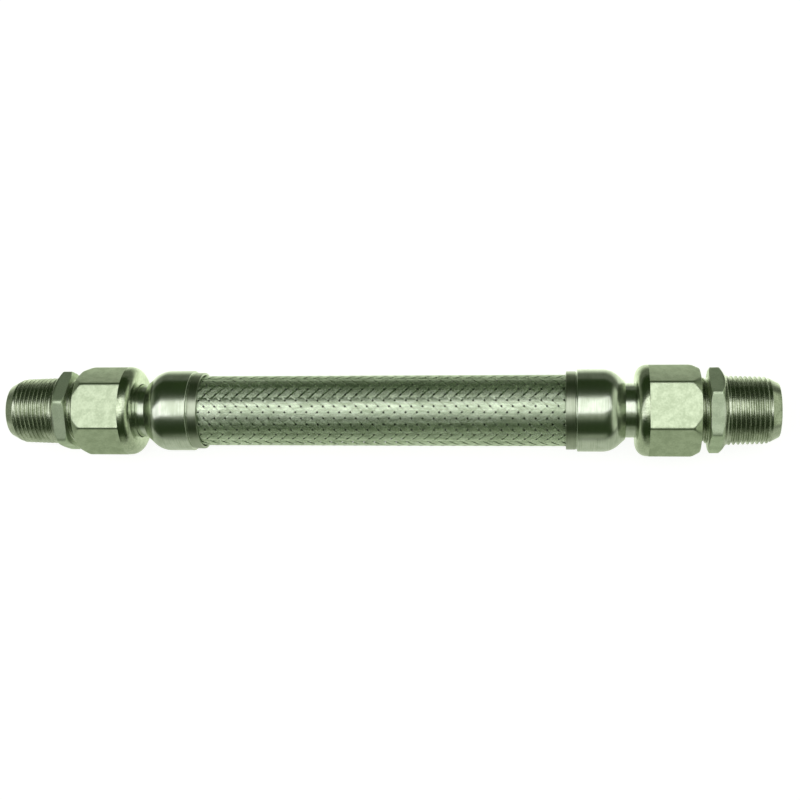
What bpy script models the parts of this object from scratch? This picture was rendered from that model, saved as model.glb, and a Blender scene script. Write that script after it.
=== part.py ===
"""Corrugated stainless steel hose with a wire braid and a union fitting at each end.

Metres, +Z up. The hose lies along X. The origin is on its axis, halfway between the ends. Each
union nut has one flat straight up and one straight down, and the hose rests on the nuts' round
collars.
"""

import math

import bmesh
import bpy
from mathutils import Matrix

# Driving sizes. Places along the hose are distances from its middle, worked out from these.
overall_length = 0.400
fit_gap = 0.0003  # left between pieces that touch or turn in each other
hex_corner_cut = 0.0001  # how far round stock falls short of a hexagon's sharp corners

# Union adapter: taper pipe thread outside, hexagon, parallel union thread inside the nut
pipe_lead_length = 0.0065  # the smooth cone in front of the thread
pipe_lead_depth = 0.0034
pipe_thread_length = 0.0199
pipe_thread_end_radius = 0.0169
pipe_thread_taper = 1 / 32  # growth in radius along the taper thread
pipe_thread_pitch = 0.002309
pipe_thread_depth = 0.0011
runout_length = 0.0024
adapter_hex_length = 0.0059
adapter_hex_flats = 0.0380
adapter_hex_chamfer = 0.0016
adapter_bore_radius = 0.0120
union_thread_radius = 0.0166
union_thread_chamfer = 0.0012
left_adapter_turn = math.radians(-24)  # each adapter was tightened to where it stopped
right_adapter_turn = math.radians(12)

# Union nut: round stock with six flats milled up to a domed collar at the hose's end
nut_gap = 0.0042  # thread left showing between the nut and the adapter's hexagon
nut_length = 0.0321
nut_flats = 0.0410
nut_chamfer_length = 0.0042
nut_chamfer_depth = 0.0023
nut_collar_length = 0.0067
nut_collar_step = 0.0003  # from the hexagon's corners down to the collar
nut_dome_length = 0.0060
nut_dome_depth = 0.0060
nut_end_wall = 0.0053
nut_mouth_chamfer = 0.0010

# Union tail: the neck, its collar inside the nut and its flange inside the braid ring
neck_wall = 0.0023
neck_length = 0.0048  # the length that shows between nut and braid ring
tail_bore_radius = 0.0115
collar_length = 0.0046
flange_thickness = 0.0036

# Flat gasket between the tail's collar and the adapter
gasket_thickness = 0.0020
gasket_bore_radius = 0.0120

# Braid ring: a turned sleeve over the braid's end, stepped down at its mouth and coned to the neck
ring_length = 0.0298
ring_wall = 0.0024
ring_end_wall = 0.0078
ring_shoulder_radius = 0.0120
ring_cone_angle = math.radians(42)
ring_end_rim = 0.0009
lip_step = 0.0010
lip_length = 0.0051
lip_round = 0.0006

# Wire braid: bands of wire, as many running one way round as the other
braid_wall = 0.0016
braid_relief = 0.0007  # depth of the hollows between crossing bands
braid_bands = 18
braid_angle = math.radians(48)  # between a band and the hose's axis

# Corrugated tube: ring-shaped folds rolled into thin pipe
core_crest_radius = 0.0164
core_root_radius = 0.0130
core_wall = 0.0003
core_pitch = 0.0060
core_cuff_length = 0.0045

# Facets round each kind of piece
ring_steps = 36
fitting_steps = 32
thread_steps = 24
inner_steps = 24
core_steps = 16

# Places along the hose, from the thread's end inwards
thread_end = overall_length / 2
thread_start = thread_end - pipe_lead_length
thread_base = thread_start - pipe_thread_length
hex_outer = thread_base - runout_length
hex_inner = hex_outer - adapter_hex_length
nut_outer = hex_inner - nut_gap
nut_inner = nut_outer - nut_length
nut_flats_end = nut_inner + nut_collar_length
nut_floor = nut_inner + nut_end_wall
collar_inner = nut_floor + fit_gap
collar_outer = collar_inner + collar_length
gasket_inner = collar_outer + fit_gap
gasket_outer = gasket_inner + gasket_thickness
adapter_inner = gasket_outer + fit_gap
ring_outer = nut_inner - neck_length
ring_inner = ring_outer - ring_length
ring_floor = ring_outer - ring_end_wall
flange_outer = ring_floor - fit_gap
flange_inner = flange_outer - flange_thickness
sleeve_end = flange_inner - fit_gap  # where the braid and the corrugated tube butt on the flange

# Radii that follow from what a piece fits round or into
braid_inner_radius = (core_crest_radius + fit_gap) / math.cos(math.pi / (2 * braid_bands))
braid_radius = braid_inner_radius + braid_wall
ring_cavity_radius = (braid_radius + fit_gap) / math.cos(math.pi / ring_steps)
ring_radius = ring_cavity_radius + ring_wall
lip_radius = ring_radius - lip_step
flange_radius = braid_radius
neck_radius = tail_bore_radius + neck_wall
ring_hole_radius = (neck_radius + fit_gap) / math.cos(math.pi / ring_steps)
nut_hole_radius = (neck_radius + fit_gap) / math.cos(math.pi / fitting_steps)
nut_cavity_radius = (union_thread_radius + fit_gap) / math.cos(math.pi / fitting_steps)
nut_corner_radius = nut_flats / 2 / math.cos(math.pi / 6) - hex_corner_cut
nut_collar_radius = nut_corner_radius - nut_collar_step
adapter_hex_corner_radius = adapter_hex_flats / 2 / math.cos(math.pi / 6) - hex_corner_cut
collar_radius = union_thread_radius - fit_gap
gasket_radius = collar_radius


def start_empty():
    """Clears the scene and makes one collection for the hose and one for the cutters."""
    for thing in list(bpy.data.objects):
        bpy.data.objects.remove(thing, do_unlink=True)
    made = []
    for name in ("braided_hose", "cutters"):
        collection = bpy.data.collections.new(name)
        bpy.context.scene.collection.children.link(collection)
        made.append(collection)
    return made


hose_collection, cutter_collection = start_empty()


def steel(name, colour, roughness, metallic=1.0):
    """A plain surface with one colour."""
    material = bpy.data.materials.new(name)
    material.use_nodes = True
    shader = material.node_tree.nodes["Principled BSDF"]
    shader.inputs["Base Color"].default_value = (*colour, 1.0)
    shader.inputs["Roughness"].default_value = roughness
    shader.inputs["Metallic"].default_value = metallic
    return material


polished_steel = steel("polished_steel", (0.56, 0.58, 0.55), 0.18)
turned_steel = steel("turned_steel", (0.47, 0.50, 0.46), 0.28)
cast_steel = steel("cast_steel", (0.66, 0.69, 0.62), 0.50)
braid_wire = steel("braid_wire", (0.50, 0.52, 0.49), 0.32)
tube_steel = steel("tube_steel", (0.52, 0.54, 0.52), 0.25)
gasket_fibre = steel("gasket_fibre", (0.30, 0.34, 0.30), 0.85, metallic=0.0)


def turned(profile, steps):
    """A mesh turned about Z from a closed outline of (radius, height) points.

    The outline runs down the outer side from the top and comes back up the inner side. The
    mesh is then turned by half a step, so that a facet faces +X.
    """
    outline = bpy.data.meshes.new("outline")
    points = [(radius, 0, height) for radius, height in profile]
    edges = [(n, (n + 1) % len(points)) for n in range(len(points))]
    outline.from_pydata(points, edges, [])
    lathe = bpy.data.objects.new("lathe", outline)
    cutter_collection.objects.link(lathe)
    screw = lathe.modifiers.new("Turn", "SCREW")
    screw.axis = "Z"
    screw.steps = steps
    screw.render_steps = steps
    screw.merge_threshold = 0.00001
    mesh = evaluated_mesh(lathe)
    bpy.data.objects.remove(lathe)
    mesh.transform(Matrix.Rotation(math.pi / steps, 4, "Z"))
    return mesh


def evaluated_mesh(thing):
    """The object's mesh with its modifiers worked in."""
    graph = bpy.context.evaluated_depsgraph_get()
    return bpy.data.meshes.new_from_object(thing.evaluated_get(graph))


def hex_cut(mesh, flats, low, high, turn):
    """Mills six flats, this far apart, into a turned mesh between two heights.

    The cutter is a sleeve with a hexagonal hole, which takes away all that lies outside it.
    """
    hole_radius = flats / 2 / math.cos(math.pi / 6)
    sleeve = [(flats, high), (flats, low), (hole_radius, low), (hole_radius, high)]
    tool = turned(sleeve, 6)
    tool.transform(Matrix.Rotation(turn, 4, "Z"))
    cutter = bpy.data.objects.new("hex_sleeve", tool)
    cutter.hide_render = True
    cutter.display_type = "WIRE"
    cutter_collection.objects.link(cutter)
    blank = bpy.data.objects.new("blank", mesh)
    cutter_collection.objects.link(blank)
    cut = blank.modifiers.new("Flats", "BOOLEAN")
    cut.operation = "DIFFERENCE"
    cut.solver = "EXACT"
    cut.object = cutter
    result = evaluated_mesh(blank)
    bpy.data.objects.remove(blank)
    return result


def add_piece(name, mesh, material, side=1, origin=0.0):
    """Places a mesh made along Z on the hose's axis, at this distance from its middle."""
    mesh.name = name
    mesh.materials.clear()
    mesh.materials.append(material)
    mesh.shade_smooth()
    mesh.set_sharp_from_angle(angle=math.radians(30))
    piece = bpy.data.objects.new(name, mesh)
    piece.rotation_euler = (0, side * math.pi / 2, 0)
    piece.location = (side * origin, 0, 0)
    hose_collection.objects.link(piece)
    return piece


def shifted(profile, origin):
    """The outline with its heights counted from a piece's own origin."""
    return [(radius, height - origin) for radius, height in profile]


def corrugated_tube():
    """Thin pipe rolled into rings, with a plain cuff at each end."""
    folds = int((sleeve_end - core_cuff_length) * 2 / core_pitch)
    half = folds * core_pitch / 2
    outer = [(core_root_radius, sleeve_end), (core_root_radius, half)]
    for fold in range(folds):
        top = half - fold * core_pitch
        outer.append((core_crest_radius, top - core_pitch / 2))
        outer.append((core_root_radius, top - core_pitch))
    outer.append((core_root_radius, -sleeve_end))
    inner = [(radius - core_wall, height) for radius, height in reversed(outer)]
    return turned(outer + inner, core_steps)


def wire_braid():
    """A sleeve with two sets of crossing ridges, wound opposite ways at the braid's angle.

    The ridges cross at every second point of the grid round and along the sleeve. The points
    between are the hollows of the braid, and each face is split along its ridge.
    """
    steps = 2 * braid_bands
    lead = 2 * math.pi * braid_radius / math.tan(braid_angle)
    rows = 2 * round(ring_inner / (lead / steps))
    row = 2 * ring_inner / rows
    hollow_radius = braid_radius - braid_relief
    outer = [(braid_radius, sleeve_end)]
    outer += [(hollow_radius, ring_inner - n * row) for n in range(rows + 1)]
    outer.append((braid_radius, -sleeve_end))
    inner = [(braid_inner_radius, -sleeve_end), (braid_inner_radius, sleeve_end)]
    mesh = turned(outer + inner, steps)
    shape = bmesh.new()
    shape.from_mesh(mesh)
    raised = set()
    for vertex in shape.verts:
        x, y, z = vertex.co
        if abs(math.hypot(x, y) - hollow_radius) > braid_relief / 10:
            continue
        turn = math.floor(math.atan2(y, x) / (2 * math.pi / steps))
        level = round((ring_inner - z) / row)
        if (turn + level) % 2 == 0:
            vertex.co = (x * braid_radius / hollow_radius, y * braid_radius / hollow_radius, z)
            raised.add(vertex)
    for face in list(shape.faces):
        tops = [vertex for vertex in face.verts if vertex in raised]
        if len(tops) == 2 and not shape.edges.get(tops):
            bmesh.utils.face_split(face, tops[0], tops[1])
    shape.to_mesh(mesh)
    shape.free()
    return mesh


def braid_ring():
    """The ring over the braid's end: a cone and a round to its body, and a lower lip."""
    end_radius = neck_radius + ring_end_rim
    shoulder_drop = ring_shoulder_radius * (1 - math.cos(ring_cone_angle))
    cone_drop = ring_radius - shoulder_drop - end_radius
    cone_start = ring_outer - cone_drop / math.tan(ring_cone_angle)
    shoulder_start = cone_start - ring_shoulder_radius * math.sin(ring_cone_angle)
    outline = [(end_radius, ring_outer)]
    for n in range(4):
        angle = ring_cone_angle * (1 - n / 3)
        outline.append((
            ring_radius - ring_shoulder_radius * (1 - math.cos(angle)),
            shoulder_start + ring_shoulder_radius * math.sin(angle),
        ))
    lip_start = ring_inner + lip_length
    outline += [
        (ring_radius, lip_start + lip_round),
        (lip_radius, lip_start),
        (lip_radius, ring_inner + lip_round),
        (lip_radius - lip_round, ring_inner),
        (ring_cavity_radius, ring_inner),
        (ring_cavity_radius, ring_floor),
        (ring_hole_radius, ring_floor),
        (ring_hole_radius, ring_outer),
    ]
    return turned(outline, ring_steps)


def union_tail():
    """The neck with its flange in the ring and its collar in the nut, turned in one piece."""
    return turned(
        [
            (collar_radius, collar_outer),
            (collar_radius, collar_inner),
            (neck_radius, collar_inner),
            (neck_radius, flange_outer),
            (flange_radius, flange_outer),
            (flange_radius, flange_inner),
            (tail_bore_radius, flange_inner),
            (tail_bore_radius, collar_outer),
        ],
        inner_steps,
    )


def gasket():
    """A flat washer of fibre."""
    return turned(
        [
            (gasket_radius, gasket_outer),
            (gasket_radius, gasket_inner),
            (gasket_bore_radius, gasket_inner),
            (gasket_bore_radius, gasket_outer),
        ],
        inner_steps,
    )


def union_nut(origin):
    """A hexagon nut: six flats with a chamfer towards the adapter, and a domed collar."""
    dome = []
    for n in range(5):
        angle = math.radians(90 - 18 * n)
        dome.append((
            nut_collar_radius - nut_dome_depth * (1 - math.sin(angle)),
            nut_inner + nut_dome_length * (1 - math.cos(angle)),
        ))
    outline = [
        (nut_corner_radius - nut_chamfer_depth, nut_outer),
        (nut_corner_radius, nut_outer - nut_chamfer_length),
        (nut_corner_radius, nut_flats_end + nut_collar_step / 2),
        (nut_collar_radius, nut_flats_end - nut_collar_step / 2),
    ]
    outline += dome
    outline += [
        (nut_hole_radius, nut_inner),
        (nut_hole_radius, nut_floor),
        (nut_cavity_radius, nut_floor),
        (nut_cavity_radius, nut_outer - nut_mouth_chamfer),
        (nut_cavity_radius + nut_mouth_chamfer, nut_outer),
    ]
    blank = turned(shifted(outline, origin), fitting_steps)
    low = nut_flats_end - origin
    high = nut_outer - origin + nut_mouth_chamfer
    return hex_cut(blank, nut_flats, low, high, 0.0)


def pipe_thread():
    """The taper thread's outline from its front to its base: one crest and root to a turn."""
    outline = []
    for turn in range(int(pipe_thread_length / pipe_thread_pitch)):
        crest = thread_start - turn * pipe_thread_pitch
        root = crest - pipe_thread_pitch / 2
        for place, depth in ((crest, 0.0), (root, pipe_thread_depth)):
            growth = (thread_start - place) * pipe_thread_taper
            outline.append((pipe_thread_end_radius + growth - depth, place))
    outline.append((pipe_thread_end_radius + pipe_thread_length * pipe_thread_taper, thread_base))
    return outline


def union_adapter(origin, turn):
    """The threaded end: taper thread, hexagon and union thread, with one bore through them."""
    hex_shoulder_radius = adapter_hex_corner_radius - adapter_hex_chamfer
    outline = [(pipe_thread_end_radius - pipe_lead_depth, thread_end)] + pipe_thread()
    outline += [
        (hex_shoulder_radius, hex_outer + runout_length / 4),
        (adapter_hex_corner_radius, hex_outer - adapter_hex_chamfer / 2),
        (adapter_hex_corner_radius, hex_inner + adapter_hex_chamfer / 2),
        (hex_shoulder_radius, hex_inner),
        (union_thread_radius, hex_inner),
        (union_thread_radius, adapter_inner + union_thread_chamfer),
        (union_thread_radius - union_thread_chamfer / 2, adapter_inner),
        (adapter_bore_radius, adapter_inner),
        (adapter_bore_radius, thread_end),
    ]
    blank = turned(shifted(outline, origin), thread_steps)
    low = hex_inner - origin - fit_gap
    high = thread_base - origin
    return hex_cut(blank, adapter_hex_flats, low, high, turn)


add_piece("corrugated_tube", corrugated_tube(), tube_steel)
add_piece("wire_braid", wire_braid(), braid_wire)
for side_name, side, adapter_turn in (
    ("left", -1, left_adapter_turn),
    ("right", 1, right_adapter_turn),
):
    nut_origin = (nut_inner + nut_outer) / 2
    add_piece(side_name + "_braid_ring", braid_ring(), polished_steel, side)
    add_piece(side_name + "_union_tail", union_tail(), polished_steel, side)
    add_piece(side_name + "_gasket", gasket(), gasket_fibre, side)
    add_piece(side_name + "_union_nut", union_nut(nut_origin), cast_steel, side, nut_origin)
    adapter = union_adapter(hex_inner, adapter_turn)
    add_piece(side_name + "_union_adapter", adapter, turned_steel, side, hex_inner)
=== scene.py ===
import math

import bpy
import numpy as np
from mathutils import Matrix, Vector


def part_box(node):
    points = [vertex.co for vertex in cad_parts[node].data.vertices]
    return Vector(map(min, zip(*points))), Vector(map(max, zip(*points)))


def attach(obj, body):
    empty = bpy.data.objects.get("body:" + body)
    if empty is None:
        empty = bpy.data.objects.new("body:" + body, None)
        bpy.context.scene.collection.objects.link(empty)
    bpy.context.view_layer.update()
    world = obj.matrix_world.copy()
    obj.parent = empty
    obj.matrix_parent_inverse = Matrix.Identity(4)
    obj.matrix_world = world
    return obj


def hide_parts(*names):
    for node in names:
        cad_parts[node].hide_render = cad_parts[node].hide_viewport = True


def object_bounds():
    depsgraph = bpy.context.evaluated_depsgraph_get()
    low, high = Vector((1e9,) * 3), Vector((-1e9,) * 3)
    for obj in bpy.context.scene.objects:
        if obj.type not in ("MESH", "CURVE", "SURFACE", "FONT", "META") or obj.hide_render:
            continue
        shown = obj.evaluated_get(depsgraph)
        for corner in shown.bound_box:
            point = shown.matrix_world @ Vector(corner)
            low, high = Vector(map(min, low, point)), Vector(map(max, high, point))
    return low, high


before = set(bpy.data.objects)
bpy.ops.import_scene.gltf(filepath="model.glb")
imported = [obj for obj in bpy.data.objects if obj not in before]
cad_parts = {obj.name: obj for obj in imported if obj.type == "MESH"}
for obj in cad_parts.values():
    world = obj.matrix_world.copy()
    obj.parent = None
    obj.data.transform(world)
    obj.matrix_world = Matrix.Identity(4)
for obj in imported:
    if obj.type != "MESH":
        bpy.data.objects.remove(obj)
cad_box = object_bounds()
mm = 0.001

# Camera: above the hose, a little towards its right end and its lower side, and turned so that
# the right end is the nearer one.
camera_place = Vector((0.0952, -0.0808, 0.6650))
camera_turn = (0.129, 0.128, 0.015)  # about the upright, the long and the viewing axis
picture_width = 800
focal_pixels = 1300.8
sensor_width = 36.0
camera_data = bpy.data.cameras.new("camera")
camera_data.sensor_width = sensor_width
camera_data.lens = sensor_width * focal_pixels / picture_width
camera = bpy.data.objects.new("camera", camera_data)
camera.matrix_world = (
    Matrix.Translation(camera_place)
    @ Matrix.Rotation(camera_turn[0], 4, "Y")
    @ Matrix.Rotation(camera_turn[1], 4, "X")
    @ Matrix.Rotation(camera_turn[2], 4, "Z")
)
bpy.context.scene.collection.objects.link(camera)
bpy.context.scene.camera = camera
bpy.context.scene.view_settings.view_transform = "Standard"


# Corrugated tube: thin stainless pipe rolled into ring-shaped folds, which carries the fluid.
# Under the braid it is seen only as glints between the wires and down the bore. Its colours
# are darkened as painted shade, so the gaps between the braid's wires read dark.
fold_pitch = 6.0 * mm
fold_points = 8
tube_wall = 0.3 * mm
tube_root = 13.0 * mm
tube_steps = 48
# Painted shade: dark tube colours that stand in for the shade in the gaps of the braid.
shaded_tube_bright = (0.36, 0.40, 0.32)
shaded_tube_dark = (0.16, 0.19, 0.14)


class Value:
    """A shader value or colour, on which the usual signs add nodes."""

    def __init__(self, tree, socket):
        self.tree, self.socket = tree, socket

    def node(self, kind, settings=None, values=None, out=0):
        """Adds a node of this kind, sets it up, then sets or links its inputs."""
        made = self.tree.nodes.new(kind)
        for key, setting in (settings or {}).items():
            setattr(made, key, setting)
        for key, given in (values or {}).items():
            if isinstance(given, Value):
                self.tree.links.new(given.socket, made.inputs[key])
            else:
                made.inputs[key].default_value = given
        return Value(self.tree, made.outputs[out])

    def math(self, operation, *others):
        """A Math node on this value and any others."""
        values = dict(enumerate((self, *others)))
        return self.node("ShaderNodeMath", {"operation": operation}, values)

    def __add__(self, other):
        return self.math("ADD", other)

    __radd__ = __add__

    def __mul__(self, other):
        return self.math("MULTIPLY", other)

    __rmul__ = __mul__

    def __sub__(self, other):
        return self.math("SUBTRACT", other)

    def __rsub__(self, other):
        return self * -1.0 + other

    def spread(self, low, high, to_low=0.0, to_high=1.0):
        """The value moved smoothly from one range to another, and held at its ends."""
        names = ("From Min", "From Max", "To Min", "To Max")
        values = dict(zip(names, (low, high, to_low, to_high)))
        values["Value"] = self
        return self.node("ShaderNodeMapRange", {"interpolation_type": "SMOOTHSTEP"}, values)

    def colour(self, first, second):
        """A colour between two, by this value."""
        mixed = self.tree.nodes.new("ShaderNodeMix")
        mixed.data_type = "RGBA"
        self.tree.links.new(self.socket, mixed.inputs["Factor"])
        for name, given in (("A", first), ("B", second)):
            socket = [s for s in mixed.inputs if s.name == name and s.type == "RGBA"][0]
            if isinstance(given, Value):
                self.tree.links.new(given.socket, socket)
            else:
                socket.default_value = (*given, 1.0)
        return Value(self.tree, [s for s in mixed.outputs if s.type == "RGBA"][0])

    def noise(self, scale, detail=3.0, stretch=(1.0, 1.0, 1.0)):
        """Noise from 0 to 1 at this place, with so many grains a metre."""
        scaled = self.node("ShaderNodeMapping", {}, {"Vector": self, "Scale": stretch})
        return self.node(
            "ShaderNodeTexNoise", {}, {"Vector": scaled, "Scale": scale, "Detail": detail}
        )

    def part(self, axis):
        """One coordinate of this place."""
        return self.node("ShaderNodeSeparateXYZ", {}, {"Vector": self}, out=axis)


class Finish:
    """A bare metal or other surface, whose place() is where a shader's maths starts."""

    def __init__(self, name, metallic=1.0):
        self.material = bpy.data.materials.new(name)
        self.material.use_nodes = True
        self.tree = self.material.node_tree
        self.shader = self.tree.nodes["Principled BSDF"]
        self.shader.inputs["Metallic"].default_value = metallic

    def place(self):
        """The point's place on the object, in metres."""
        coordinates = self.tree.nodes.new("ShaderNodeTexCoord")
        return Value(self.tree, coordinates.outputs["Object"])

    def wear(self, colour, roughness, height=None, depth=0.0):
        """Feeds the shader its colour and roughness, and its bump in metres."""
        self.tree.links.new(colour.socket, self.shader.inputs["Base Color"])
        self.tree.links.new(roughness.socket, self.shader.inputs["Roughness"])
        if height:
            bump = height.node("ShaderNodeBump", {}, {"Height": height, "Distance": depth})
            self.tree.links.new(bump.socket, self.shader.inputs["Normal"])


def add_piece(name, corners, face_sets, finish, body):
    """A smooth-shaded mesh in a finish, which rides on a body. Each set of faces is an array
    of corner numbers, one row a face."""
    mesh = bpy.data.meshes.new(name)
    mesh.vertices.add(len(corners))
    mesh.vertices.foreach_set("co", np.asarray(corners, np.float32).ravel())
    sizes = np.concatenate([np.full(len(faces), faces.shape[1]) for faces in face_sets])
    mesh.loops.add(int(sizes.sum()))
    numbers = np.concatenate([faces.ravel() for faces in face_sets]).astype(np.int32)
    mesh.loops.foreach_set("vertex_index", numbers)
    starts = np.concatenate([[0], np.cumsum(sizes)[:-1]]).astype(np.int32)
    mesh.polygons.add(len(sizes))
    mesh.polygons.foreach_set("loop_start", starts)
    mesh.update(calc_edges=True)
    mesh.validate()
    mesh.shade_smooth()
    mesh.materials.append(finish.material)
    piece = bpy.data.objects.new(name, mesh)
    bpy.context.scene.collection.objects.link(piece)
    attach(piece, body)
    return piece


def turned(outline, steps, side=1, radius_at=None):
    """Corners and faces of a closed outline of (radius, along) turned round the hose's axis.

    The outline runs along the outer side from the far end and comes back inside. A piece of
    the left end is the right one turned half round the upright axis.
    """
    radius, along = np.array(outline, float).T
    rows = len(outline)
    angle = np.arange(steps) * 2 * math.pi / steps
    radius, angle = np.meshgrid(radius, angle, indexing="ij")
    along = np.repeat(along[:, None], steps, axis=1)
    if radius_at:
        radius = radius_at(radius, along, angle)
    places = (side * along, side * radius * np.cos(angle), radius * np.sin(angle))
    corners = np.stack(places, axis=-1).reshape(-1, 3)
    row, step = np.meshgrid(np.arange(rows), np.arange(steps), indexing="ij")
    below, beside = (row + 1) % rows * steps, (step + 1) % steps
    row = row * steps
    quads = np.stack([row + step, below + step, below + beside, row + beside], axis=-1)
    return corners, [quads.reshape(-1, 4)]


tube_low, tube_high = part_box("corrugated_tube")
tube_crest = tube_high.z
fold_count = 35
tube_outer = [(tube_root, tube_high.x)]
for point in range(fold_count * fold_points + 1):
    phase = 2 * math.pi * point / fold_points
    swell = (1 - math.cos(phase)) / 2
    place = fold_count * fold_pitch / 2 - point * fold_pitch / fold_points
    tube_outer.append((tube_root + (tube_crest - tube_root) * swell ** 0.8, place))
tube_outer.append((tube_root, tube_low.x))
tube_inner = [(radius - tube_wall, along) for radius, along in reversed(tube_outer)]

tube_finish = Finish("rolled_tube")
tube_place = tube_finish.place()
tube_stain = tube_place.noise(180, 4)
tube_finish.wear(
    tube_stain.colour(shaded_tube_dark, shaded_tube_bright),
    tube_stain.spread(0.3, 0.7, 0.22, 0.34),
    tube_place.noise(900, 2, (0.05, 1.0, 1.0)),
    0.01 * mm,
)
corners, faces = turned(tube_outer + tube_inner, tube_steps)
tube = add_piece("folded_tube", corners, faces, tube_finish, "hose")
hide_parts("corrugated_tube")


# Wire braid: bands of six bright stainless wires, eighteen wound each way round the tube.
# Each band goes over two bands and under two, always at the same places round the hose.
bands = 18
wires_in_band = 6
wire_half_width = 0.275 * mm
wire_half_height = 0.065 * mm  # they are pressed flat where they cross
# Corners of a wire's cross-section, outward and aside, as shares of its half height and width.
wire_section = ((1.0, -0.5), (1.0, 0.5), (-0.2, 1.0), (-1.0, 0.0), (-0.2, -1.0))
wire_pitch = 0.555 * mm  # from wire to wire across a band
weave_depth = 0.17 * mm  # how far a band swings in and out
weave_firmness = 1.7  # how quickly it swings
braid_angle = math.radians(48)
braid_clearance = 4 * mm  # the wires stop this far short of the tail's flange
braid_bright = (0.88, 0.98, 0.80)
braid_dark = (0.64, 0.74, 0.56)
braid_roughness = (0.26, 0.18)  # of its dark and bright spots
braid_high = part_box("wire_braid")[1]
braid_centre_radius = braid_high.z - wire_half_height - weave_depth
braid_lead = 2 * math.pi * braid_centre_radius / math.tan(braid_angle)
braid_half = braid_high.x - braid_clearance
crossings = 2 * braid_half / (braid_lead / (2 * bands))
wire_samples = 2 * round(crossings) + 1


def wind(direction):
    """Corners and faces of all the wires that are wound one way."""
    along = np.linspace(-braid_half, braid_half, wire_samples)
    spacing = wire_pitch / math.cos(braid_angle) / braid_centre_radius
    offsets = (np.arange(wires_in_band) - (wires_in_band - 1) / 2) * spacing
    starts = (np.arange(bands)[:, None] * 2 * math.pi / bands + offsets).ravel()
    turn = starts[:, None] + direction * 2 * math.pi * along / braid_lead
    swing = np.cos(bands / 2 * turn - math.pi / 4)
    swing = np.tanh(weave_firmness * swing) / math.tanh(weave_firmness)
    radius = braid_centre_radius + direction * weave_depth * swing
    along = np.repeat(along[None], len(starts), axis=0)
    centre = np.stack([along, radius * np.cos(turn), radius * np.sin(turn)], axis=-1)
    tangent = np.gradient(centre, axis=1)
    tangent /= np.linalg.norm(tangent, axis=-1, keepdims=True)
    outward = np.stack([np.zeros_like(turn), np.cos(turn), np.sin(turn)], axis=-1)
    aside = np.cross(tangent, outward)
    aside /= np.linalg.norm(aside, axis=-1, keepdims=True)
    outward = np.cross(aside, tangent)
    rise, reach = np.array(wire_section).T[:, :, None]
    corners = centre[:, :, None] + (
        outward[:, :, None] * rise * wire_half_height + aside[:, :, None] * reach * wire_half_width
    )
    wire_sides = len(wire_section)
    wire = np.arange(len(starts))[:, None, None] * wire_samples * wire_sides
    sample = np.arange(wire_samples - 1)[None, :, None] * wire_sides
    side = np.arange(wire_sides)[None, None]
    next_side = (side + 1) % wire_sides
    here = wire + sample
    quads = np.stack(
        [here + side, here + next_side, here + wire_sides + next_side, here + wire_sides + side],
        axis=-1,
    ).reshape(-1, 4)
    first = wire[:, 0] + np.arange(wire_sides)[::-1]
    last = wire[:, 0] + (wire_samples - 1) * wire_sides + np.arange(wire_sides)
    return corners.reshape(-1, 3), [quads, first, last]


braid_finish = Finish("drawn_wire")
braid_place = braid_finish.place()
braid_streak = braid_place.noise(700, 2, (0.25, 1.0, 1.0))
braid_tone = braid_streak * 0.6 + braid_place.noise(60, 2) * 0.4
braid_finish.wear(
    braid_tone.spread(0.35, 0.65).colour(braid_dark, braid_bright),
    braid_tone.spread(0.35, 0.65, *braid_roughness),
)
for name, direction in (("braid_bands_one_way", 1), ("braid_bands_other_way", -1)):
    corners, faces = wind(direction)
    braid = add_piece(name, corners, faces, braid_finish, "hose")
    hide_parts("wire_braid")


# Braid rings: a polished sleeve over each end of the braid, turned from stainless bar. It is
# rounded and coned down to the neck, where it is welded, and stepped down at its mouth.
round_steps = 160
ring_radius = 21.0 * mm
ring_cavity_radius = 18.7 * mm
ring_end_wall = 7.8 * mm
ring_end_radius = 14.7 * mm
ring_hole_radius = 14.1 * mm
ring_shoulder_radius = 12.0 * mm
ring_cone_angle = math.radians(42)
lip_length = 5.1 * mm
lip_step = 1.0 * mm
lip_groove = 0.3 * mm
sides = (("left", -1), ("right", 1))
polish_bright = (0.67, 0.71, 0.63)
polish_dark = (0.49, 0.54, 0.44)
lip_bright = (0.44, 0.48, 0.39)
lip_dark = (0.30, 0.34, 0.25)
polish_roughness = 0.25
lip_roughening = 0.08


def rounded(outline, segments=5):
    """Rounds the corners of a closed outline of (radius, along, rounding).

    A point close beside each rounding keeps the faces next to it flat to the eye.
    """
    points = []
    for n, (radius, along, size) in enumerate(outline):
        here = Vector((radius, along))
        if not size:
            points.append(tuple(here))
            continue
        before = Vector(outline[n - 1][:2]) - here
        after = Vector(outline[(n + 1) % len(outline)][:2]) - here
        reach = min(size, before.length * 0.45, after.length * 0.45)
        start, end = here + before.normalized() * reach, here + after.normalized() * reach
        points.append(tuple(start + before * 0.04))
        for k in range(segments + 1):
            t = k / segments
            point = start * (1 - t) ** 2 + here * (2 * t * (1 - t)) + end * t**2
            points.append(tuple(point))
        points.append(tuple(end + after * 0.04))
    return points


def right_span(node):
    """Where a solid of the right end begins and ends along the hose."""
    low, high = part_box("right_" + node)
    return low.x, high.x


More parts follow.
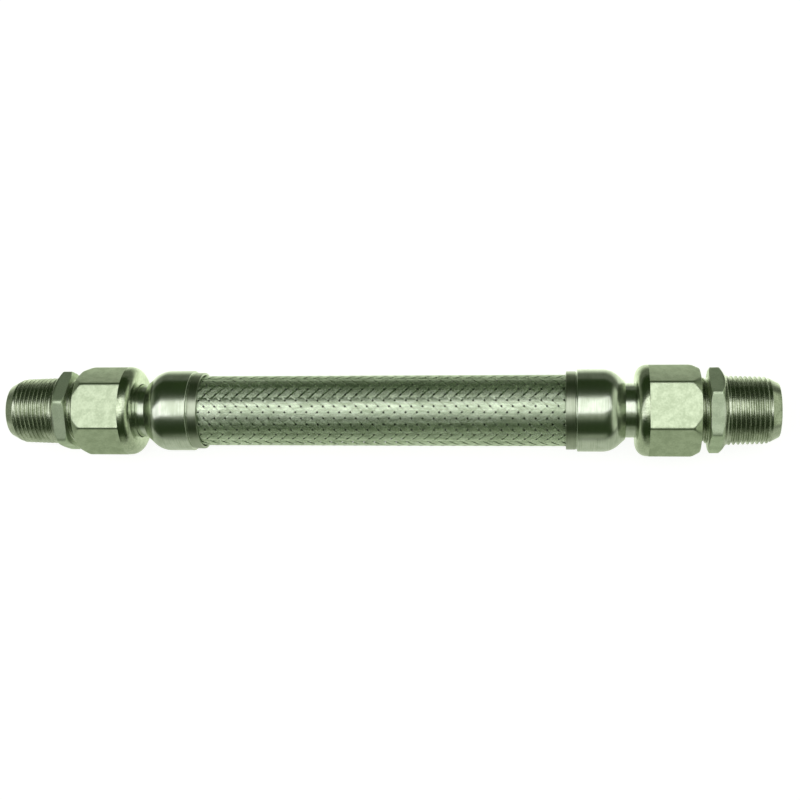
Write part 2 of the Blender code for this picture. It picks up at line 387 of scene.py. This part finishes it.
ring_inner, ring_outer = right_span("braid_ring")
lip_end = ring_inner + lip_length
shoulder_drop = ring_shoulder_radius * (1 - math.cos(ring_cone_angle))
cone_drop = ring_radius - shoulder_drop - ring_end_radius
shoulder_end = ring_outer - cone_drop / math.tan(ring_cone_angle)
shoulder_start = shoulder_end - ring_shoulder_radius * math.sin(ring_cone_angle)
ring_corners = [
    (ring_hole_radius, ring_outer, 0.1 * mm),
    (ring_end_radius, ring_outer, 0.3 * mm),
]
for n in range(13):
    angle = ring_cone_angle * (1 - n / 12)
    ring_corners.append((
        ring_radius - ring_shoulder_radius * (1 - math.cos(angle)),
        shoulder_start + ring_shoulder_radius * math.sin(angle),
        0,
    ))
ring_corners += [
    (ring_radius, lip_end + 0.6 * mm, 0.4 * mm),
    (ring_radius - lip_step - lip_groove, lip_end + 0.3 * mm, 0.1 * mm),
    (ring_radius - lip_step - lip_groove, lip_end, 0.1 * mm),
    (ring_radius - lip_step, lip_end - 0.3 * mm, 0.4 * mm),
    (ring_radius - lip_step, ring_inner + 0.1 * mm, 0.8 * mm),
    (ring_radius - lip_step - 0.6 * mm, ring_inner, 0.3 * mm),
    (ring_cavity_radius, ring_inner, 0.2 * mm),
    (ring_cavity_radius, ring_outer - ring_end_wall, 0.2 * mm),
    (ring_hole_radius, ring_outer - ring_end_wall, 0.2 * mm),
]
ring_outline = rounded(ring_corners, 8)

polish = Finish("polished_steel")
polish_place = polish.place()
polish_lines = polish_place.noise(2600, 1, (1.0, 0.03, 0.03))
polish_tone = polish_place.noise(90, 4) * 0.7 + polish_lines * 0.3
polish_mottle = polish_tone.spread(0.35, 0.65)
polish_colour = polish_mottle.colour(polish_dark, polish_bright)
lip_colour = polish_mottle.colour(lip_dark, lip_bright)
on_lip = polish_place.part(0).math("ABSOLUTE").spread(lip_end - 0.2 * mm, lip_end, 1.0, 0.0)
polish.wear(
    on_lip.colour(polish_colour, lip_colour),
    polish_mottle * -0.05 + on_lip * lip_roughening + polish_roughness,
    polish_place.noise(3000, 2, (1.0, 0.02, 0.02)),
    0.002 * mm,
)
for name, side in sides:
    corners, faces = turned(ring_outline, round_steps, side)
    ring = add_piece(name + "_ring", corners, faces, polish, "hose")
    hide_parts(name + "_braid_ring")


# Union tails: the short bright neck between ring and nut, turned from one bar with the flange
# inside the ring and the collar that the nut pulls on.
neck_radius = 13.8 * mm
tail_bore_radius = 11.5 * mm
flange_length = 3.6 * mm
flange_radius = 18.3 * mm
collar_length = 4.6 * mm
collar_radius = 16.3 * mm
tail_inner, tail_outer = right_span("union_tail")
tail_outline = rounded([
    (collar_radius, tail_outer, 0.3 * mm),
    (collar_radius, tail_outer - collar_length, 0.3 * mm),
    (neck_radius, tail_outer - collar_length, 0.3 * mm),
    (neck_radius, tail_inner + flange_length, 0.3 * mm),
    (flange_radius, tail_inner + flange_length, 0.2 * mm),
    (flange_radius, tail_inner, 0.2 * mm),
    (tail_bore_radius, tail_inner, 0.2 * mm),
    (tail_bore_radius, tail_outer, 0.2 * mm),
])
for name, side in sides:
    corners, faces = turned(tail_outline, round_steps, side)
    tail = add_piece(name + "_tail", corners, faces, polish, "hose")
    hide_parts(name + "_union_tail")


# Gaskets: a flat fibre washer pressed between the tail's collar and the adapter. Its edge shows
# only down the bore.
gasket_radius = 16.3 * mm
gasket_bore_radius = 12.0 * mm
fibre_light = (0.12, 0.19, 0.13)
fibre_dark = (0.05, 0.09, 0.06)
gasket_inner, gasket_outer = right_span("gasket")
gasket_outline = rounded([
    (gasket_radius, gasket_outer, 0.2 * mm),
    (gasket_radius, gasket_inner, 0.2 * mm),
    (gasket_bore_radius, gasket_inner, 0.2 * mm),
    (gasket_bore_radius, gasket_outer, 0.2 * mm),
])
fibre = Finish("gasket_fibre", metallic=0.0)
fibre_speck = fibre.place().noise(1400, 4)
fibre.wear(
    fibre_speck.spread(0.3, 0.7).colour(fibre_dark, fibre_light),
    fibre_speck.spread(0.3, 0.7, 0.7, 0.95),
    fibre_speck,
    0.05 * mm,
)
for name, side in sides:
    corners, faces = turned(gasket_outline, round_steps, side)
    washer = add_piece(name + "_washer", corners, faces, fibre, "hose")
    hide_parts(name + "_gasket")


# Union nuts: large hexagon nuts cast in stainless and blasted to a pale, mottled skin, with a
# chamfer towards the adapter. One flat faces straight up. The flats stop at a round, domed and
# smoother collar towards the hose.
hex_steps = 288
nut_flats = 41.0 * mm
nut_corner_radius = 23.45 * mm
nut_face_radius = 21.2 * mm
nut_chamfer_length = 4.2 * mm
nut_collar_length = 6.7 * mm
nut_collar_radius = 23.25 * mm
nut_dome_length = 6.0 * mm
nut_dome_depth = 6.0 * mm
nut_hole_radius = 14.1 * mm
nut_cavity_radius = 16.95 * mm
nut_end_wall = 5.3 * mm
nut_edge = 0.12 * mm  # softness of the cast edges between the flats
cast_bright = (0.56, 0.63, 0.47)
cast_dark = (0.45, 0.52, 0.37)
collar_bright = (0.58, 0.64, 0.49)
collar_dark = (0.42, 0.48, 0.35)
collar_roughness = 0.24
flats_roughening = 0.14
flats_fade = 0.3 * mm
nut_inner, nut_outer = right_span("union_nut")


def hexagon(flats, edge, turn=0.0, low=-1.0, high=1.0):
    """A function that holds a turned form inside a hexagonal bar with softened edges."""

    def radius_at(radius, along, angle):
        from_flat = (angle - turn) % (math.pi / 3) - math.pi / 6
        bar = flats / 2 / np.cos(from_flat)
        soft = -edge * np.logaddexp(-radius / edge, -bar / edge)
        inside = (along > low) & (along < high) & (radius > flats / 2 * 0.9)
        return np.where(inside, soft, radius)

    return radius_at


def finely(points, longest):
    """The same outline with its long stretches cut up, all but the one that closes it."""
    fine = []
    for here, there in zip(points, points[1:]):
        here, there = Vector(here), Vector(there)
        cuts = max(1, math.ceil((there - here).length / longest))
        fine += [tuple(here.lerp(there, k / cuts)) for k in range(cuts)]
    return fine + [points[-1]]


flats_end = nut_inner + nut_collar_length
nut_corners = [
    (nut_cavity_radius + 0.9 * mm, nut_outer, 0.3 * mm),
    (nut_face_radius, nut_outer, 0.5 * mm),
    (nut_corner_radius, nut_outer - nut_chamfer_length, 1.2 * mm),
    (nut_corner_radius, flats_end + 0.15 * mm, 0.1 * mm),
    (nut_collar_radius, flats_end - 0.15 * mm, 0.1 * mm),
]
for n in range(11):
    angle = math.pi / 2 * (1 - n / 10)
    nut_corners.append((
        nut_collar_radius - nut_dome_depth * (1 - math.sin(angle)),
        nut_inner + nut_dome_length * (1 - math.cos(angle)),
        0,
    ))
nut_corners += [
    (nut_hole_radius, nut_inner, 0.3 * mm),
    (nut_hole_radius, nut_inner + nut_end_wall, 0.3 * mm),
    (nut_cavity_radius, nut_inner + nut_end_wall, 0.3 * mm),
    (nut_cavity_radius, nut_outer - 0.9 * mm, 0.2 * mm),
]
nut_outline = finely(rounded(nut_corners), 1.2 * mm)

cast = Finish("blasted_casting")
cast_place = cast.place()
cast_tone = cast_place.noise(260, 5) * 0.55 + cast_place.noise(1100, 3) * 0.45
cast_mottle = cast_tone.spread(0.36, 0.64)
cast_colour = cast_mottle.colour(cast_dark, cast_bright)
collar_colour = cast_mottle.colour(collar_dark, collar_bright)
from_middle = cast_place.part(0).math("ABSOLUTE")
on_flats = from_middle.spread(flats_end - flats_fade, flats_end + flats_fade)
cast.wear(
    on_flats.colour(collar_colour, cast_colour),
    on_flats * flats_roughening - cast_mottle * 0.06 + collar_roughness,
    cast_place.noise(900, 4) * 0.6 + cast_place.noise(2800, 2) * 0.4,
    0.06 * mm,
)
for name, side in sides:
    bar = hexagon(nut_flats, nut_edge, low=flats_end)
    corners, faces = turned(nut_outline, hex_steps, side, bar)
    nut = add_piece(name + "_nut", corners, faces, cast, name + "_nut")
    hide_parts(name + "_union_nut")


# Union adapters: turned from hexagon bar, with a taper pipe thread outside, a short cone, the
# hexagon, left as sawn and duller than the rest, and the parallel union thread that screws into
# the nut. One bore runs through.
thread_pitch = 2.309 * mm
thread_depth = 1.2 * mm
thread_samples = 10  # along one pitch
pipe_lead_length = 6.5 * mm  # the cone in front of the thread
pipe_lead_depth = 3.4 * mm
pipe_thread_length = 19.9 * mm
pipe_thread_end_radius = 16.9 * mm
pipe_thread_taper = 1 / 32
thread_on_lead = 2.0 * mm
runout_length = 2.4 * mm
adapter_hex_length = 5.9 * mm
adapter_hex_flats = 38.0 * mm
adapter_hex_corner_radius = 21.8 * mm
adapter_hex_shoulder_radius = 20.2 * mm
adapter_hex_edge = 0.12 * mm
union_thread_radius = 16.6 * mm
adapter_bore_radius = 12.0 * mm
adapter_turns = {"left": math.radians(-24), "right": math.radians(12)}
turned_bright = (0.60, 0.64, 0.53)
turned_dark = (0.34, 0.38, 0.28)
sawn_bright = (0.74, 0.83, 0.65)
sawn_dark = (0.58, 0.67, 0.50)
turned_roughness = 0.30
sawn_roughening = 0.30
sawn_fade = 0.2 * mm
adapter_inner, thread_end = right_span("union_adapter")
thread_start = thread_end - pipe_lead_length
thread_base = thread_start - pipe_thread_length
hex_outer = thread_base - runout_length
hex_inner = hex_outer - adapter_hex_length


def threaded(spans, then):
    """A function that cuts a rounded V thread into these spans of a turned form, each with how
    deep it is cut at its two ends, and then does what another such function does."""

    def radius_at(radius, along, angle):
        turns = along / thread_pitch - angle / (2 * math.pi)
        flank = np.abs(turns % 1.0 - 0.5) * 2
        groove = np.clip(flank * 1.25 - 0.125, 0.0, 1.0)
        groove = groove * groove * (3 - 2 * groove)
        outside = radius > (adapter_bore_radius + union_thread_radius) / 2
        for low, high, run_in, run_out in spans:
            rise = np.clip((along - low) / run_in, 0, 1) * np.clip((high - along) / run_out, 0, 1)
            radius = np.where(outside, radius - thread_depth * groove * rise, radius)
        return then(radius, along, angle)

    return radius_at


pipe_thread_base_radius = pipe_thread_end_radius + pipe_thread_length * pipe_thread_taper
adapter_corners = [
    (adapter_bore_radius, thread_end, 0.3 * mm),
    (pipe_thread_end_radius - pipe_lead_depth, thread_end, 0.5 * mm),
    (pipe_thread_end_radius, thread_start, 1.5 * mm),
    (pipe_thread_base_radius, thread_base, 0.6 * mm),
    (adapter_hex_shoulder_radius, hex_outer + runout_length * 0.25, 0.8 * mm),
    (adapter_hex_corner_radius, hex_outer - 0.6 * mm, 0.4 * mm),
    (adapter_hex_corner_radius, hex_inner + 0.8 * mm, 0.4 * mm),
    (adapter_hex_shoulder_radius, hex_inner, 0.3 * mm),
    (union_thread_radius, hex_inner, 0.2 * mm),
    (union_thread_radius, adapter_inner + 1.2 * mm, 0.3 * mm),
    (union_thread_radius - 0.7 * mm, adapter_inner, 0.3 * mm),
    (adapter_bore_radius, adapter_inner, 0.3 * mm),
]
adapter_outline = finely(rounded(adapter_corners), thread_pitch / thread_samples)
thread_spans = (
    (thread_base, thread_start + thread_on_lead, 3.0 * mm, 1.5 * mm),
    (adapter_inner, hex_inner, 0.4 * mm, 2.0 * mm),
)
machined = Finish("turned_steel")
machined_place = machined.place()
machined_tone = machined_place.noise(150, 4) * 0.6 + machined_place.noise(1500, 2) * 0.4
machined_mottle = machined_tone.spread(0.35, 0.65)
turned_colour = machined_mottle.colour(turned_dark, turned_bright)
sawn_colour = machined_mottle.colour(sawn_dark, sawn_bright)
from_middle = machined_place.part(0).math("ABSOLUTE")
past_slot = from_middle.spread(hex_inner - sawn_fade, hex_inner + sawn_fade)
before_thread = from_middle.spread(hex_outer - sawn_fade, thread_base - 0.8 * mm, 1.0, 0.0)
on_hexagon = past_slot * before_thread
machined.wear(
    on_hexagon.colour(turned_colour, sawn_colour),
    machined_mottle * -0.1 + on_hexagon * sawn_roughening + turned_roughness,
    machined_place.noise(3000, 2, (1.0, 0.02, 0.02)),
    0.004 * mm,
)
for name, side in sides:
    bar = hexagon(adapter_hex_flats, adapter_hex_edge, adapter_turns[name])
    corners, faces = turned(adapter_outline, hex_steps // 2, side, threaded(thread_spans, bar))
    adapter = add_piece(
        name + "_adapter", corners, faces, machined, name + "_adapter"
    )
    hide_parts(name + "_union_adapter")


# Studio: a white sheet under the hose, one long soft lamp above it, and a dark room that is
# lighter overhead, past the hose's ends and low down in front. The sheet is white to the
# camera. In the polished steel it is a painted reflection: to glossy rays the sheet glows with
# a tint and a strength set by place, fading into the room, more quickly behind the hose, and
# the paper itself is dim grey to all rays but the camera's.
sheet_size = 6.0
sheet_colour = (0.20, 0.22, 0.18)
sheet_shade = (0.30, 0.30, 0.30)
sheet_glow = 0.88  # to the camera
# Painted reflection: the sheet's glow as only the steel sees it, with its tint and its strengths
# by place.
painted_glow_tint = (1.0, 1.09, 0.87)
painted_glow_behind = 1.15  # in the steel, just behind the hose
painted_glow_in_front = 0.44
painted_glow_far_drop = 0.25  # how much less it is far in front
room_colour = (0.026, 0.045, 0.0146)
room_tint = (1.0, 1.12, 0.84)
overhead_glow = 0.30
right_glow = 0.65
left_glow = 0.25
front_glow = 0.28
lamp_place = (-0.65, -0.05, 1.0)
lamp_turn = math.radians(14)  # its right end stands further back
lamp_size = (3.4, 0.78)
lamp_power = 11.0

sheet_mesh = bpy.data.meshes.new("sheet")
half_sheet = sheet_size / 2
floor_height = cad_box[0].z
sheet_corners = [(-1, -1), (1, -1), (1, 1), (-1, 1)]
sheet_mesh.from_pydata(
    [(x * half_sheet, y * half_sheet, floor_height) for x, y in sheet_corners], [], [(0, 1, 2, 3)]
)
sheet = bpy.data.objects.new("sheet", sheet_mesh)
bpy.context.scene.collection.objects.link(sheet)
sheet_material = bpy.data.materials.new("sheet")
sheet_material.use_nodes = True
sheet_tree = sheet_material.node_tree
sheet_tree.nodes.clear()
path = sheet_tree.nodes.new("ShaderNodeLightPath")
seen = Value(sheet_tree, path.outputs["Is Camera Ray"])
mirrored = Value(sheet_tree, path.outputs["Is Glossy Ray"])
coordinates = sheet_tree.nodes.new("ShaderNodeTexCoord")
on_sheet = Value(sheet_tree, coordinates.outputs["Object"])
along, aside = on_sheet.part(0), on_sheet.part(1)
# Painted reflection: the glow's strength by place on the sheet, used only for glossy rays.
close_by = aside.spread(-0.04, 0.01, painted_glow_in_front, painted_glow_behind)
painted_reflection = close_by - aside.spread(-0.4, -0.06, painted_glow_far_drop, 0.0)
painted_reflection = painted_reflection * aside.spread(0.025, 0.085, 1.0, 0.04)
painted_reflection = painted_reflection * along.spread(0.22, 0.6, 1.0, 0.15)
paper = seen.node("ShaderNodeBsdfDiffuse", {}, {"Color": seen.colour(sheet_colour, sheet_shade)})
glow = seen.node(
    "ShaderNodeEmission",
    {},
    {
        "Color": seen.colour(painted_glow_tint, (1.0, 1.0, 1.0)),
        "Strength": seen * sheet_glow + mirrored * painted_reflection,
    },
)
both = seen.node("ShaderNodeAddShader", {}, {0: paper, 1: glow})
output = sheet_tree.nodes.new("ShaderNodeOutputMaterial")
sheet_tree.links.new(both.socket, output.inputs["Surface"])
sheet_mesh.materials.append(sheet_material)

world = bpy.data.worlds.new("room")
world.use_nodes = True
world_tree = world.node_tree
world_tree.nodes.clear()
world_path = world_tree.nodes.new("ShaderNodeLightPath")
world_seen = Value(world_tree, world_path.outputs["Is Camera Ray"])
direction = world_tree.nodes.new("ShaderNodeTexCoord")
direction = Value(world_tree, direction.outputs["Generated"])
rightward, backward, upward = [direction.part(axis) for axis in range(3)]
overhead = upward.spread(0.75, 1.0, 0.0, overhead_glow)
past_right = rightward.spread(0.6, 0.82, 0.0, right_glow) * rightward.spread(0.90, 0.96, 1.0, 0.0)
past_left = rightward.spread(-0.97, -0.75, left_glow, 0.0)
in_front = backward.spread(-0.99, -0.90, front_glow, 0.0) * upward.spread(0.12, 0.30, 1.0, 0.0)
light = (overhead + past_right + past_left + in_front).colour(room_colour, room_tint)
room = world_seen.colour(light, (1.0, 1.0, 1.0))
sky = world_seen.node("ShaderNodeBackground", {}, {"Color": room})
world_output = world_tree.nodes.new("ShaderNodeOutputWorld")
world_tree.links.new(sky.socket, world_output.inputs["Surface"])
bpy.context.scene.world = world

lamp_data = bpy.data.lights.new("soft_lamp", "AREA")
lamp_data.shape = "RECTANGLE"
lamp_data.size, lamp_data.size_y = lamp_size
lamp_data.energy = lamp_power
lamp = bpy.data.objects.new("soft_lamp", lamp_data)
lamp.location = lamp_place
lamp.rotation_euler.z = lamp_turn
bpy.context.scene.collection.objects.link(lamp)
